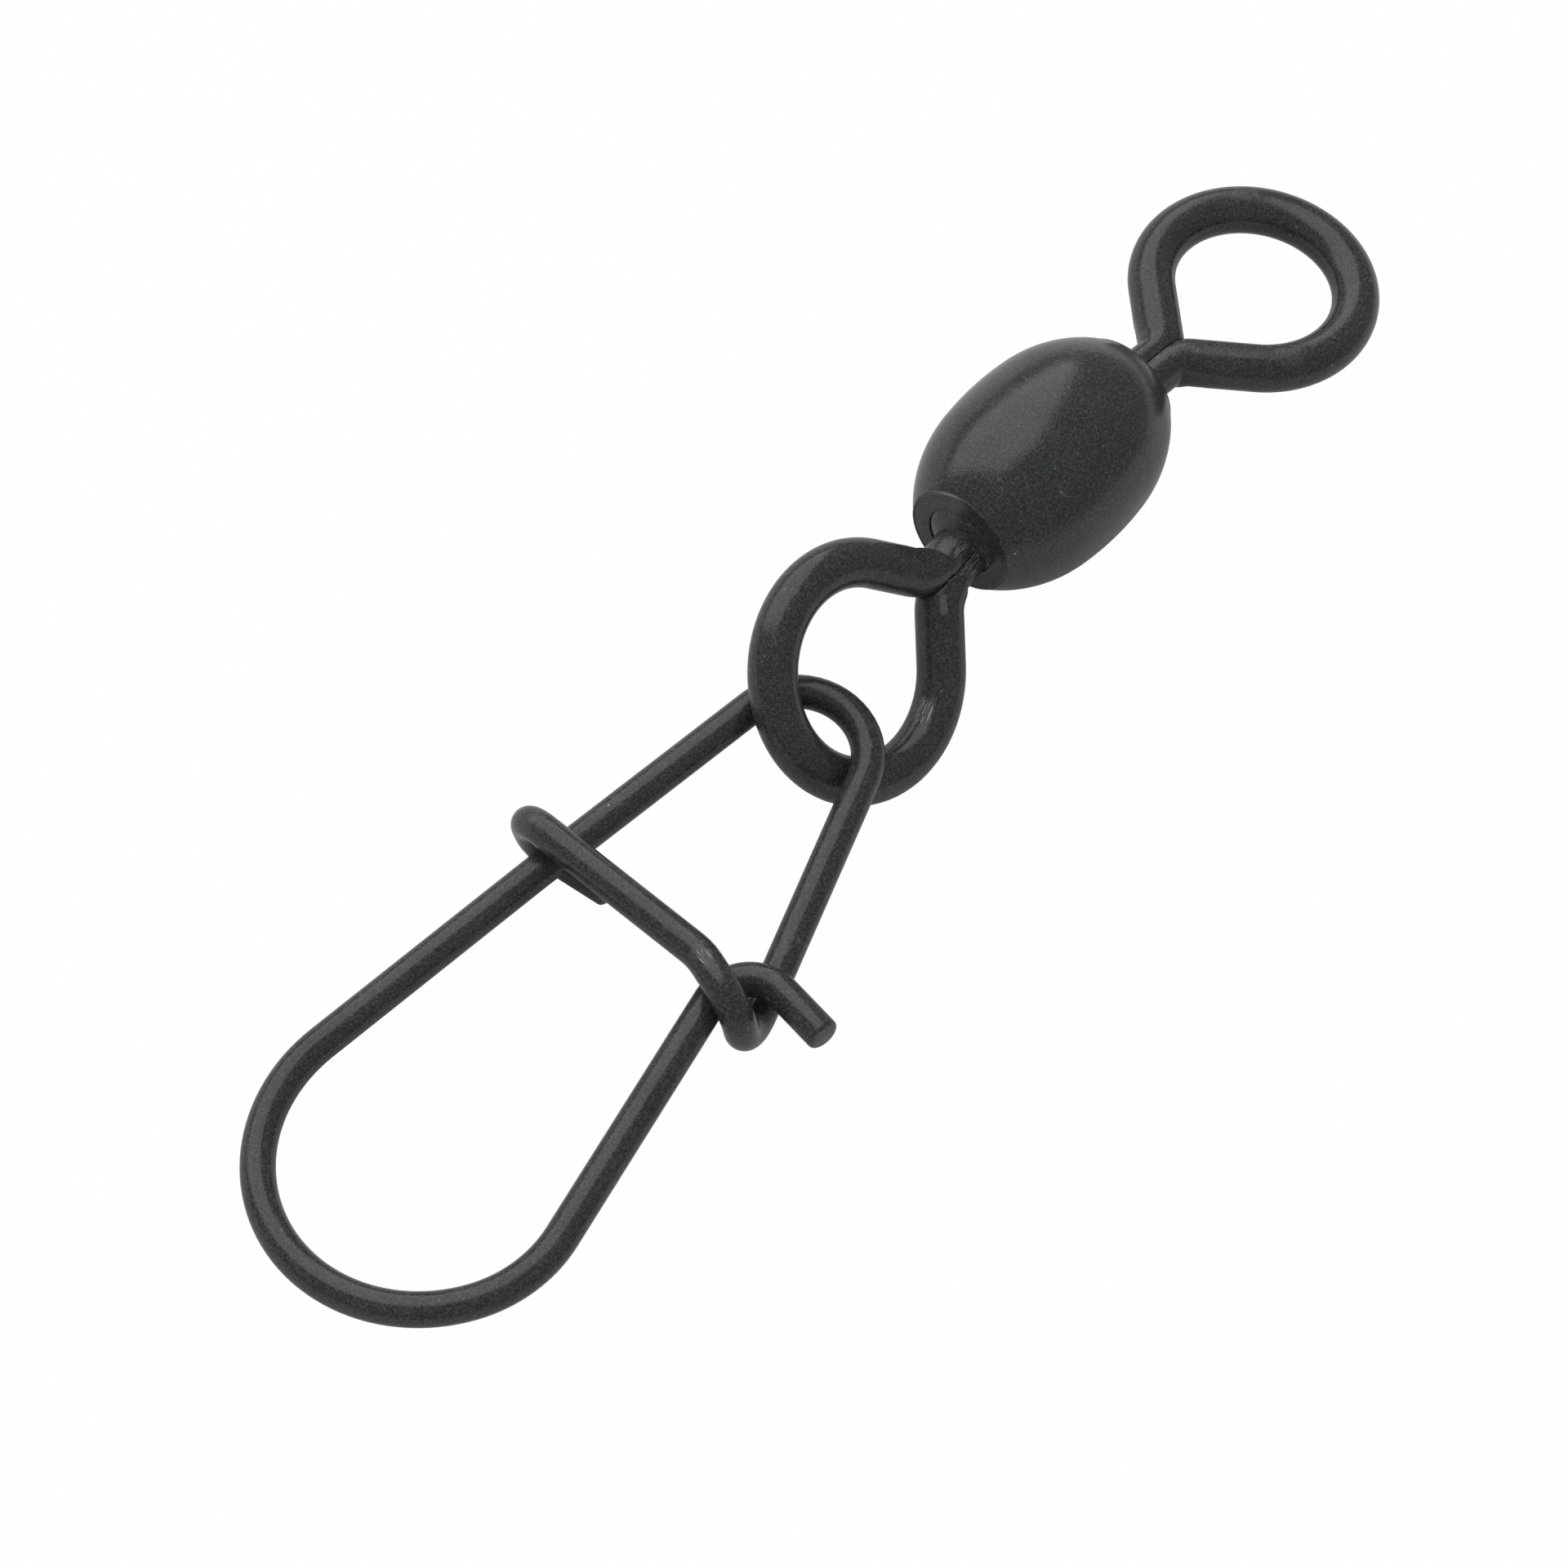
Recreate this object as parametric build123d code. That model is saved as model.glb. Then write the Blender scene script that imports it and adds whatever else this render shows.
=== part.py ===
from build123d import *
import math
import os
from dataclasses import dataclass

# Snap swivel for fishing tackle, all sizes in millimetres.
# It lies on a flat surface: +Z is up, +X runs along the swivel from the snap towards the line
# eye, and the origin is on the surface under the middle of the whole object.
# Four pieces: a hollow barrel, two wire eyes whose ball heads are caught inside the barrel, and
# one bent wire that is the snap.

# Running gaps
SEAT_GAP = 0.04  # ball head to the lip that holds it
NECK_PLAY = 0.35  # straight neck to the mouth's bore, so that the eye can lean
WIRE_GAP = 0.05  # between two crossing runs of the snap's own wire

# Wire eyes
EYE_WIRE_DIA = 1.25
RING_RADIUS = 2.71  # to the middle of the wire
NECK_PITCH = 0.60  # between the two wires laid side by side
NECK_DIA = 1.50  # after the die has pressed both wires together
NECK_PRESS_END = 3.74  # pressed length stops this far from the ring's middle
DIE_FLARE_LENGTH = 0.50  # the die opens here and leaves a slope on each arm
DIE_FLARE_WIDTH = 0.62  # how much wider the die is where it ends
EYE_LENGTH = 6.52  # middle of the ball head to the middle of the ring
HEAD_RADIUS = 1.30
HEAD_BACK = 0.80  # the head is struck flat this far behind its middle

# Barrel
BARREL_HALF_LENGTH = 3.45
BARREL_RADIUS = 2.645
CROWN_RADIUS = 9.0  # gentle curve round the middle
CROWN_HALF_SPAN = 1.1
END_FACE_WIDTH = 0.37  # from the mouth's bore to where the shoulder would meet the end
LIP_LENGTH = 0.70  # thickness of the closed-in end
CHAMBER_WALL = 0.75
MOUTH_CHAMFER = 0.16
RIM_ROUND = 0.24
BARREL_TILT = 1.6  # the line eye's end lies lower

# Snap wire, in its own plane: origin where the two upper legs would meet, stations measured
# from there towards the big loop, left positive
SNAP_WIRE_DIA = 0.85
TOP_BEND_RADIUS = 1.71
LEFT_LEG_ANGLE = 10.76  # above the keeper
LEFT_LEG_LOWER_ANGLE = 9.87  # sprung in a little below the keeper
LEFT_LEG_BEND_RADIUS = 12.0
LOOP_START_STATION = 20.74
LOOP_SHOULDER_RADIUS = 4.17
LOOP_SHOULDER_TURN = 65.8
LOOP_END_RADIUS = 4.03
LOOP_END_TURN = 88.1
LOOP_HEEL_RADIUS = 3.39
RIGHT_LEG_LOWER_ANGLE = 8.9
CROSSBAR_STATION = 13.94
CROSSBAR_SKEW = 0.61  # the bar's keeper end lies this much nearer to the top bend
KEEPER_RETURN = 0.30  # the keeper's under run lies this much nearer to the top bend
KEEPER_REACH = 1.03  # past the middle of the left leg
KEEPER_TIP = 1.25  # under run, from the middle of the left leg
KEEPER_BEND_RADIUS = 0.77
HOOK_STATION = 14.62  # lowest point of the interlocking hook
HOOK_REACH = 0.96  # hook to the middle of the lower right leg
HOOK_DROP = 0.24  # extra depth of the hook's back run
HOOK_BEND_RADIUS = 0.95
HOOK_SHIFT = 0.15  # the hook's back run is this much nearer to the top bend
BAR_CORNER_STEP = 0.51  # bar corner, short of the lower right leg
BAR_CORNER_RADIUS = 1.85
STUB_STATION = 12.89
STUB_LENGTH = 3.13  # thumb tab, from its corner to its cut end
STUB_SLANT = 13.6
STUB_BEND_RADIUS = 1.02
WIRE_END_ROUND = 0.07

# How the snap hangs in the eye and lies
SNAP_YAW = 3.05
SNAP_PITCH = 4.27
SNAP_ROLL = 12.0
LINK_PLACE = (-0.106, -0.333, -0.084)  # top bend's middle, from the eye's wire at its far end


@dataclass(frozen=True)
class EyeForm:
    """How one eye is bent, and how it hangs in the barrel."""

    arm_angle: float  # each arm leaves the neck at this angle
    arm_bend_radius: float  # where an arm turns into the neck
    side: int  # 1 for the end towards +X, -1 for the other
    tilt: float  # lean in the ring's own plane
    roll: float  # about the barrel's axis
    slack: float  # pushed in from its lip by this much


LINE_EYE = EyeForm(arm_angle=48.2, arm_bend_radius=0.75, side=1, tilt=4.25, roll=-6.4, slack=0)
SNAP_EYE = EyeForm(arm_angle=51.0, arm_bend_radius=1.1, side=-1, tilt=6.25, roll=41.0, slack=0.45)

EYE_WIRE_RADIUS = EYE_WIRE_DIA / 2
SNAP_WIRE_RADIUS = SNAP_WIRE_DIA / 2
MOUTH_RADIUS = NECK_DIA / 2 + NECK_PLAY
LEVEL = SNAP_WIRE_DIA + WIRE_GAP  # height of a run that crosses over or under another


def turned_profile(points_and_edges):
    """A ring-shaped solid from a closed half section drawn over the X axis."""
    return revolve(make_face(points_and_edges), Axis.X)


# Barrel


def crown_and_shoulder():
    """The two arcs of the outer half profile: crown end point, shoulder middle and end.

    The shoulder's arc goes on smoothly from the crown and ends at the end face.
    """
    fall = math.asin(CROWN_HALF_SPAN / CROWN_RADIUS)
    crown_end = (
        CROWN_HALF_SPAN,
        BARREL_RADIUS - CROWN_RADIUS * (1 - math.cos(fall)),
    )
    end = (BARREL_HALF_LENGTH, MOUTH_RADIUS + END_FACE_WIDTH)
    run = end[0] - crown_end[0]
    drop = crown_end[1] - end[1]
    half_turn = math.atan2(drop, run) - fall
    shoulder_radius = math.hypot(run, drop) / 2 / math.sin(half_turn)
    reach = 2 * shoulder_radius * math.sin(half_turn / 2)
    aim = fall + half_turn / 2
    middle = (crown_end[0] + reach * math.cos(aim), crown_end[1] - reach * math.sin(aim))
    return crown_end, middle, end


def head_place(slack):
    """Distance of a head's middle from the barrel's middle, for a given slack."""
    seat = math.sqrt((HEAD_RADIUS + SEAT_GAP) ** 2 - MOUTH_RADIUS**2)
    return BARREL_HALF_LENGTH - LIP_LENGTH - seat - slack


def make_barrel():
    """Hollow barrel with closed-in ends, turned about the X axis."""
    crown_end, middle, end = crown_and_shoulder()
    mirrored = [(-x, y) for x, y in (end, middle, crown_end)]
    outer = [
        ThreePointArc(*mirrored),
        ThreePointArc(mirrored[2], (0, BARREL_RADIUS), crown_end),
        ThreePointArc(crown_end, middle, end),
        Line(end, (end[0], 0)),
        Line((end[0], 0), (-end[0], 0)),
        Line((-end[0], 0), mirrored[0]),
    ]
    body = turned_profile(outer)
    rims = body.edges().filter_by(GeomType.CIRCLE)
    rims = [e for e in rims if abs(abs(e.center().X) - BARREL_HALF_LENGTH) < 0.01]
    body = fillet(rims, RIM_ROUND)
    chamber_radius = BARREL_RADIUS - CHAMBER_WALL
    chamber = Rot(0, 90, 0) * Cylinder(chamber_radius, 2 * (BARREL_HALF_LENGTH - LIP_LENGTH))
    nose = chamber_radius - MOUTH_RADIUS
    chamber = chamfer(chamber.edges().filter_by(GeomType.CIRCLE), min(nose, 1.0) * 0.6)
    bore = Rot(0, 90, 0) * Cylinder(MOUTH_RADIUS, 2 * BARREL_HALF_LENGTH + 1)
    body = body - chamber - bore
    mouths = [
        e
        for e in body.edges().filter_by(GeomType.CIRCLE)
        if abs(abs(e.center().X) - BARREL_HALF_LENGTH) < 0.01
        and abs(e.radius - MOUTH_RADIUS) < 0.01
    ]
    return chamfer(mouths, MOUTH_CHAMFER)


# Wire eyes


def half_eye_path(form):
    """Half of an eye's wire: from the neck along one arm round to the ring's far side.

    The eye's own frame has its ball head at the origin and the ring's middle on +X.
    """
    slant = math.radians(form.arm_angle)
    lift = NECK_PITCH / 2

    def on_ring(angle):
        return (
            EYE_LENGTH + RING_RADIUS * math.cos(angle),
            RING_RADIUS * math.sin(angle),
        )

    leave = math.pi / 2 + slant
    crossing = EYE_LENGTH - RING_RADIUS / math.sin(slant)
    corner = (crossing + lift / math.tan(slant), lift)
    arm = FilletPolyline((0, lift), corner, on_ring(leave), radius=form.arm_bend_radius)
    side = math.pi / 2
    near = ThreePointArc(on_ring(leave), on_ring((leave + side) / 2), on_ring(side))
    far = ThreePointArc(on_ring(side), on_ring(side / 2), on_ring(0))
    return Wire(arm.edges() + near.edges() + far.edges())


def neck_die():
    """What the pressing takes away round the neck, with a slope where the arms come out."""
    length = EYE_LENGTH - NECK_PRESS_END
    low = (Align.CENTER, Align.CENTER, Align.MIN)
    reach = Cylinder(3 * EYE_WIRE_DIA, length + DIE_FLARE_LENGTH, align=low)
    neck = Cylinder(NECK_DIA / 2, length, align=low)
    flare = Cone(NECK_DIA / 2, NECK_DIA / 2 + DIE_FLARE_WIDTH, DIE_FLARE_LENGTH, align=low)
    return Rot(0, 90, 0) * (reach - neck - Pos(0, 0, length) * flare)


def make_eye(form):
    """One eye: ring, two arms pressed together as the neck, and a ball head."""
    start = Plane(origin=(0, NECK_PITCH / 2, 0), x_dir=(0, 1, 0), z_dir=(1, 0, 0))
    half = sweep(start * Circle(EYE_WIRE_RADIUS), path=half_eye_path(form))
    wire = half + mirror(half, about=Plane.XZ)
    ball = Sphere(HEAD_RADIUS)
    block = 4 * HEAD_RADIUS
    ball -= Pos(-HEAD_BACK - block / 2, 0, 0) * Box(block, block, block)
    return (wire - neck_die()) + ball


# Snap


@dataclass
class FlatPen:
    """Draws arcs in the snap's plane: a place, and a heading in degrees from the axis."""

    x: float
    y: float
    heading: float

    def turn_right(self, radius, angle):
        """An arc that bends to the right by the angle, and moves the pen to its end."""
        towards = math.radians(self.heading - 90)
        centre = (self.x + radius * math.cos(towards), self.y + radius * math.sin(towards))
        places = []
        for part in (0.5, 1.0):
            around = towards + math.pi - math.radians(angle * part)
            places.append(
                (centre[0] + radius * math.cos(around), centre[1] + radius * math.sin(around))
            )
        arc = ThreePointArc((self.x, self.y), places[0], places[1])
        self.x, self.y = places[1]
        self.heading -= angle
        return arc


def left_leg_at(station):
    """Lateral place of the left leg above the keeper."""
    return station * math.tan(math.radians(LEFT_LEG_ANGLE))


def big_loop():
    """The big loop's three arcs, the left leg's start point and the pen at the loop's end."""
    bend = (CROSSBAR_STATION, left_leg_at(CROSSBAR_STATION))
    run = LOOP_START_STATION - CROSSBAR_STATION
    start = (
        LOOP_START_STATION,
        bend[1] + run * math.tan(math.radians(LEFT_LEG_LOWER_ANGLE)),
    )
    pen = FlatPen(*start, LEFT_LEG_LOWER_ANGLE)
    heel_turn = (
        180
        + LEFT_LEG_LOWER_ANGLE
        + RIGHT_LEG_LOWER_ANGLE
        - LOOP_SHOULDER_TURN
        - LOOP_END_TURN
    )
    arcs = [
        pen.turn_right(LOOP_SHOULDER_RADIUS, LOOP_SHOULDER_TURN),
        pen.turn_right(LOOP_END_RADIUS, LOOP_END_TURN),
        pen.turn_right(LOOP_HEEL_RADIUS, heel_turn),
    ]
    return bend, start, arcs, pen


def snap_path():
    """The whole wire, from the keeper's tip to the end of the thumb tab."""
    bend, start, arcs, pen = big_loop()

    def lower_right_at(station):
        return pen.y + (pen.x - station) * math.tan(math.radians(RIGHT_LEG_LOWER_ANGLE))

    under = CROSSBAR_STATION - CROSSBAR_SKEW - KEEPER_RETURN
    over = CROSSBAR_STATION - CROSSBAR_SKEW
    leg = left_leg_at(over)
    hook_side = lower_right_at(HOOK_STATION) - HOOK_REACH
    bar_corner = lower_right_at(CROSSBAR_STATION) + BAR_CORNER_STEP
    hook_low = -LEVEL - HOOK_DROP
    upper = FilletPolyline(
        (under, leg - KEEPER_TIP, -LEVEL),
        (under, leg + KEEPER_REACH, -LEVEL),
        (over, leg + KEEPER_REACH, LEVEL),
        (CROSSBAR_STATION, bar_corner, LEVEL),
        (HOOK_STATION, hook_side, LEVEL),
        (HOOK_STATION - HOOK_SHIFT, hook_side, hook_low),
        (0, 0, 0),
        (bend[0], bend[1], 0),
        (start[0], start[1], 0),
        radius=[
            KEEPER_BEND_RADIUS,
            KEEPER_BEND_RADIUS,
            BAR_CORNER_RADIUS,
            HOOK_BEND_RADIUS,
            HOOK_BEND_RADIUS,
            TOP_BEND_RADIUS,
            LEFT_LEG_BEND_RADIUS,
        ],
    )
    corner = (STUB_STATION, lower_right_at(STUB_STATION))
    slant = math.radians(STUB_SLANT)
    tip = (
        corner[0] + STUB_LENGTH * math.sin(slant),
        corner[1] - STUB_LENGTH * math.cos(slant),
    )
    lower = FilletPolyline((pen.x, pen.y), corner, tip, radius=STUB_BEND_RADIUS)
    edges = list(upper.edges()) + [a.edge() for a in arcs] + list(lower.edges())
    return Wire(edges)


def make_snap():
    """One bent wire, with slightly rounded cut ends."""
    path = snap_path()
    section = Plane(origin=path @ 0, z_dir=path % 0) * Circle(SNAP_WIRE_RADIUS)
    wire = sweep(section, path=path)
    ends = [f for f in wire.faces().filter_by(GeomType.PLANE)]
    cuts = [e for f in ends for e in f.edges()]
    return fillet(cuts, WIRE_END_ROUND)


# Laying the pieces down


def swivel_place(part):
    """From the barrel's own frame to where the swivel lies."""
    return Pos(0, 0, BARREL_RADIUS) * Rot(0, BARREL_TILT, 0) * part


def eye_place(part, form):
    """An eye from its own frame into the barrel."""
    aim = -form.tilt if form.side > 0 else 180 + form.tilt
    head = Pos(form.side * head_place(form.slack), 0, 0)
    return head * Rot(form.roll, 0, 0) * Rot(0, 0, aim) * part


def hanging_place():
    """Middle of the snap eye's wire where the ring ends along the barrel's axis."""
    ring_middle = eye_place(Pos(EYE_LENGTH, 0, 0) * Sphere(EYE_WIRE_RADIUS), SNAP_EYE)
    return swivel_place(Pos(-RING_RADIUS, 0, 0) * ring_middle).center()


def snap_place(part):
    """The snap onto the snap eye."""
    half_bend = math.radians(LEFT_LEG_ANGLE + right_leg_angle()) / 2
    centre = TOP_BEND_RADIUS / math.sin(half_bend)
    aim = math.radians((LEFT_LEG_ANGLE - right_leg_angle()) / 2)
    own = Pos(-centre * math.cos(aim), -centre * math.sin(aim), 0) * part
    own = mirror(own, about=Plane.YZ)
    turn = Rot(0, 0, SNAP_YAW) * Rot(0, -SNAP_PITCH, 0) * Rot(-SNAP_ROLL, 0, 0)
    return Pos(hanging_place() + Vector(LINK_PLACE)) * turn * own


def right_leg_angle():
    """Angle of the upper right leg, which the hook's place gives."""
    _, _, _, pen = big_loop()
    lower = pen.y + (pen.x - HOOK_STATION) * math.tan(math.radians(RIGHT_LEG_LOWER_ANGLE))
    return math.degrees(math.atan2(HOOK_REACH - lower, HOOK_STATION - HOOK_SHIFT))


def build():
    """Every node at rest, with the origin on the surface under the object's middle."""
    parts = {
        "swivel_barrel": swivel_place(make_barrel()),
        "line_eye": swivel_place(eye_place(make_eye(LINE_EYE), LINE_EYE)),
        "snap_eye": swivel_place(eye_place(make_eye(SNAP_EYE), SNAP_EYE)),
        "snap_wire": snap_place(make_snap()),
    }
    box = Compound([s for p in parts.values() for s in p.solids()]).bounding_box()
    middle = box.center()
    return {
        name: Pos(-middle.X, -middle.Y, -box.min.Z) * part for name, part in parts.items()
    }


def main():
    os.makedirs("parts", exist_ok=True)
    for name, part in build().items():
        part.label = name
        export_step(part, f"parts/{name}.step")
        print(name, round(part.volume, 2), part.bounding_box())


main()
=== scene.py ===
"""Dresses a fishing snap swivel that lies on a pale surface.

The barrel, the two wire eyes and the bent snap wire are modelled at real size in metres, finished
in a satin black plating, and set in a plain soft studio.
"""

from __future__ import annotations

import logging
import math
from dataclasses import dataclass, field
from enum import Enum

import bpy
from mathutils import Matrix, Vector

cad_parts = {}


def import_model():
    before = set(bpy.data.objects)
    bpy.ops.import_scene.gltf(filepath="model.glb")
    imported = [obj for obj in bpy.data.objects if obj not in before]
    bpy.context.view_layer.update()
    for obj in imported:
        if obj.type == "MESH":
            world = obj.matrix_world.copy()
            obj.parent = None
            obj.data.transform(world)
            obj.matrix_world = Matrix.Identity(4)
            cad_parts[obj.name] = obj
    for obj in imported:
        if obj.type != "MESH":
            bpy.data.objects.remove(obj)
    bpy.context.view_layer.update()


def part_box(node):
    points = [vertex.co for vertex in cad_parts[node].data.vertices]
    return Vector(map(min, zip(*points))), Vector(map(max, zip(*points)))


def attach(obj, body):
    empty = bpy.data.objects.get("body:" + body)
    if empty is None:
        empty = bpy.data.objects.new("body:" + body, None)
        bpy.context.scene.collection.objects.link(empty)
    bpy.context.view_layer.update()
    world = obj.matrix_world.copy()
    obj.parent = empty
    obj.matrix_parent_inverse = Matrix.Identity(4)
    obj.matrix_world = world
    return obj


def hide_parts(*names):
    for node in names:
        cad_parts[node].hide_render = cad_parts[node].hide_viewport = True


LOG = logging.getLogger("snap_swivel")
Pair = tuple[float, float]
Triple = tuple[float, float, float]
MM = 0.001
WIRE_SIDES = 40
BARREL_SIDES = 96
HEAD_SIDES = 48
FEWEST_BEND_RINGS = 3
MERGE_DISTANCE = 1e-7  # metres, between points that are one
MIRROR_MERGE = 1e-6  # metres, where the halves of an eye meet
UNEVEN_EDGE = 1.1  # how far noise moves a mark's edge, for each unit of its reach


def deselect_all() -> None:
    """Clears the selection, which loading the frame leaves full."""
    bpy.ops.object.select_all(action="DESELECT")


def make_active(piece: bpy.types.Object) -> None:
    """Selects one object alone and makes it the active one.

    Args:
        piece: The object.
    """
    deselect_all()
    piece.select_set(True)
    bpy.context.view_layer.objects.active = piece


def arc_points(middle: Pair, radius: float, first: float, last: float, steps: int) -> list[Pair]:
    """Points along an arc of a turned section, both ends included.

    Args:
        middle: The arc's middle, as (place along the barrel, radius).
        radius: The arc's own radius.
        first: Angle of the first point, in radians from straight out, towards +X.
        last: The same for the last point.
        steps: Into how many steps the arc is divided.

    Returns:
        Points as (place along the barrel, radius).
    """
    angles = [first + (last - first) * step / steps for step in range(steps + 1)]
    return [(middle[0] + radius * math.sin(a), middle[1] + radius * math.cos(a)) for a in angles]


class Side(Enum):
    """The end of the barrel that an eye comes out of."""

    LINE = 1
    SNAP = -1


class Sock:
    """A shader socket that takes part in Python arithmetic."""

    def __init__(self, sheet: "MaterialSheet", socket: bpy.types.NodeSocket) -> None:
        """Wraps a socket.

        Args:
            sheet: The material that the socket is in.
            socket: The output socket to wrap.
        """
        self.sheet = sheet
        self.socket = socket

    def _with(self, operation: str, *values: object) -> "Sock":
        """Adds one Math node on this socket and others."""
        return self.sheet.math(operation, self, *values)

    def __add__(self, other: object) -> "Sock":
        """This plus other."""
        return self._with("ADD", other)

    def __mul__(self, other: object) -> "Sock":
        """This times other."""
        return self._with("MULTIPLY", other)

    def __sub__(self, other: object) -> "Sock":
        """This less other."""
        return self._with("SUBTRACT", other)

    __radd__ = __add__

    def band(self, low: float, high: float) -> "Sock":
        """A smooth step from 0 at low to 1 at high.

        Args:
            low: Where the step starts.
            high: Where the step ends; it may be less than low for a falling step.

        Returns:
            The stepped value.
        """
        rising = low < high
        node = self.sheet.node(
            "ShaderNodeMapRange",
            {"interpolation_type": "SMOOTHSTEP", "clamp": True},
            {
                "Value": self,
                "From Min": min(low, high),
                "From Max": max(low, high),
                "To Min": 0.0 if rising else 1.0,
                "To Max": 1.0 if rising else 0.0,
            },
        )
        return Sock(self.sheet, node.outputs["Result"])


@dataclass(frozen=True)
class Pattern:
    """A noise pattern: how its cells are turned, in degrees, and their size, in metres."""

    turn: Triple
    cell: float
    detail: float
    roughness: float = 0.5


class MaterialSheet:
    """One material and the nodes that are put on it."""

    def __init__(self, name: str) -> None:
        """Starts a material with nothing but its output.

        Args:
            name: The material's name.
        """
        self.material = bpy.data.materials.new(name)
        self.material.use_nodes = True
        self.tree = self.material.node_tree
        self.tree.nodes.clear()
        self.output = self.tree.nodes.new("ShaderNodeOutputMaterial")

    def node(
        self,
        kind: str,
        settings: dict[str, object] | None = None,
        inputs: dict[str | int, object] | None = None,
    ) -> bpy.types.Node:
        """Adds a node.

        Args:
            kind: The node's type name.
            settings: Its own settings, which are set before its sockets.
            inputs: Values or links of its sockets, by name or place.

        Returns:
            The new node.
        """
        node = self.tree.nodes.new(kind)
        for name, value in (settings or {}).items():
            setattr(node, name, value)
        for name, value in (inputs or {}).items():
            self.feed(node.inputs[name], value)
        return node

    def feed(self, socket: bpy.types.NodeSocket, value: object) -> None:
        """Links a wrapped or plain socket to an input, or sets the input's value.

        Args:
            socket: The input socket.
            value: What it gets.
        """
        if isinstance(value, Sock):
            self.tree.links.new(value.socket, socket)
        elif isinstance(value, bpy.types.NodeSocket):
            self.tree.links.new(value, socket)
        else:
            socket.default_value = value

    def math(self, operation: str, *values: object) -> Sock:
        """Adds a Math node and wraps its result."""
        node = self.node("ShaderNodeMath", {"operation": operation}, dict(enumerate(values)))
        return Sock(self, node.outputs[0])

    def place(self, turn: Triple, stretch: Triple) -> Sock:
        """Object coordinates, turned and then stretched.

        Args:
            turn: Euler angles in degrees.
            stretch: Scale along each axis, per metre.

        Returns:
            The coordinates.
        """
        coords = self.node("ShaderNodeTexCoord")
        angles = tuple(math.radians(angle) for angle in turn)
        node = self.node(
            "ShaderNodeMapping",
            {"vector_type": "TEXTURE"},
            {
                "Vector": coords.outputs["Object"],
                "Rotation": angles,
                "Scale": tuple(1 / value for value in stretch),
            },
        )
        return Sock(self, node.outputs["Vector"])

    def pattern(self, pattern: Pattern) -> Sock:
        """Noise of one pattern over the whole object."""
        where = self.place(pattern.turn, (1 / pattern.cell,) * 3)
        return self.noise(where, pattern.detail, pattern.roughness)

    def noise(self, where: Sock, detail: float, roughness: float = 0.5) -> Sock:
        """Noise of unit scale.

        Args:
            where: The coordinates.
            detail: How many finer layers it has.
            roughness: How strong the finer layers are.

        Returns:
            The noise, round one half.
        """
        node = self.node(
            "ShaderNodeTexNoise",
            {"noise_dimensions": "3D"},
            {"Vector": where, "Scale": 1.0, "Detail": detail, "Roughness": roughness},
        )
        return Sock(self, node.outputs[0])

    def near(self, point: Vector, inner: float, outer: float, edge: Sock) -> Sock:
        """1 within inner metres of a point in the object, falling to 0 at outer.

        Args:
            point: The middle.
            inner: Where the fall starts.
            outer: Where the fall ends.
            edge: Noise round one half, which makes the outline uneven.

        Returns:
            The share.
        """
        coords = self.node("ShaderNodeTexCoord")
        gap = self.node(
            "ShaderNodeVectorMath",
            {"operation": "DISTANCE"},
            {0: coords.outputs["Object"], 1: tuple(point)},
        )
        uneven = Sock(self, gap.outputs["Value"]) + (edge - 0.5) * (outer * UNEVEN_EDGE)
        return uneven.band(outer, inner)

    def colour_mix(self, factor: object, first: object, second: object) -> Sock:
        """Mixes two colours.

        Args:
            factor: 0 for the first colour, 1 for the second.
            first: A colour, or a socket with one.
            second: The same.

        Returns:
            The mixed colour.
        """
        inputs = {"Factor": factor, 6: first, 7: second}
        node = self.node("ShaderNodeMix", {"data_type": "RGBA"}, inputs)
        return Sock(self, node.outputs[2])


class WearAndGlint(Enum):
    """What happened to the plating at one place, and painted highlights where light would catch it."""

    # Also the painted highlight line along the barrel's ridge
    CHIP = "bare metal shows as a bright speck"
    SCRATCHES = "fine lines run along the wire"
    # A painted highlight: a paler patch where a pressed flat catches the lamp
    RUB = "a patch is polished paler"
    SCUFF = "a patch is rough and mottled"


@dataclass(frozen=True)
class PlacedMark:
    """One mark in the row's frame, in metres, with the direction of its lines."""

    wear_and_glint: WearAndGlint
    place: Vector
    reach: float
    strength: float
    along: Vector


@dataclass(frozen=True)
class Mark:
    """One mark on a piece, in the piece's own frame, in millimetres and degrees."""

    wear_and_glint: WearAndGlint
    place: Triple
    reach: float
    strength: float = 1.0
    heading: float = 0.0

    def put(self, matrix: Matrix) -> PlacedMark:
        """Brings the mark into the row's frame.

        Args:
            matrix: From the piece's own frame to the row's frame.

        Returns:
            The placed mark.
        """
        turn = math.radians(self.heading)
        along = matrix.to_3x3() @ Vector((math.cos(turn), math.sin(turn), 0))
        spot = matrix @ (Vector(self.place) * MM)
        return PlacedMark(self.wear_and_glint, spot, self.reach * MM, self.strength, along)


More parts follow.
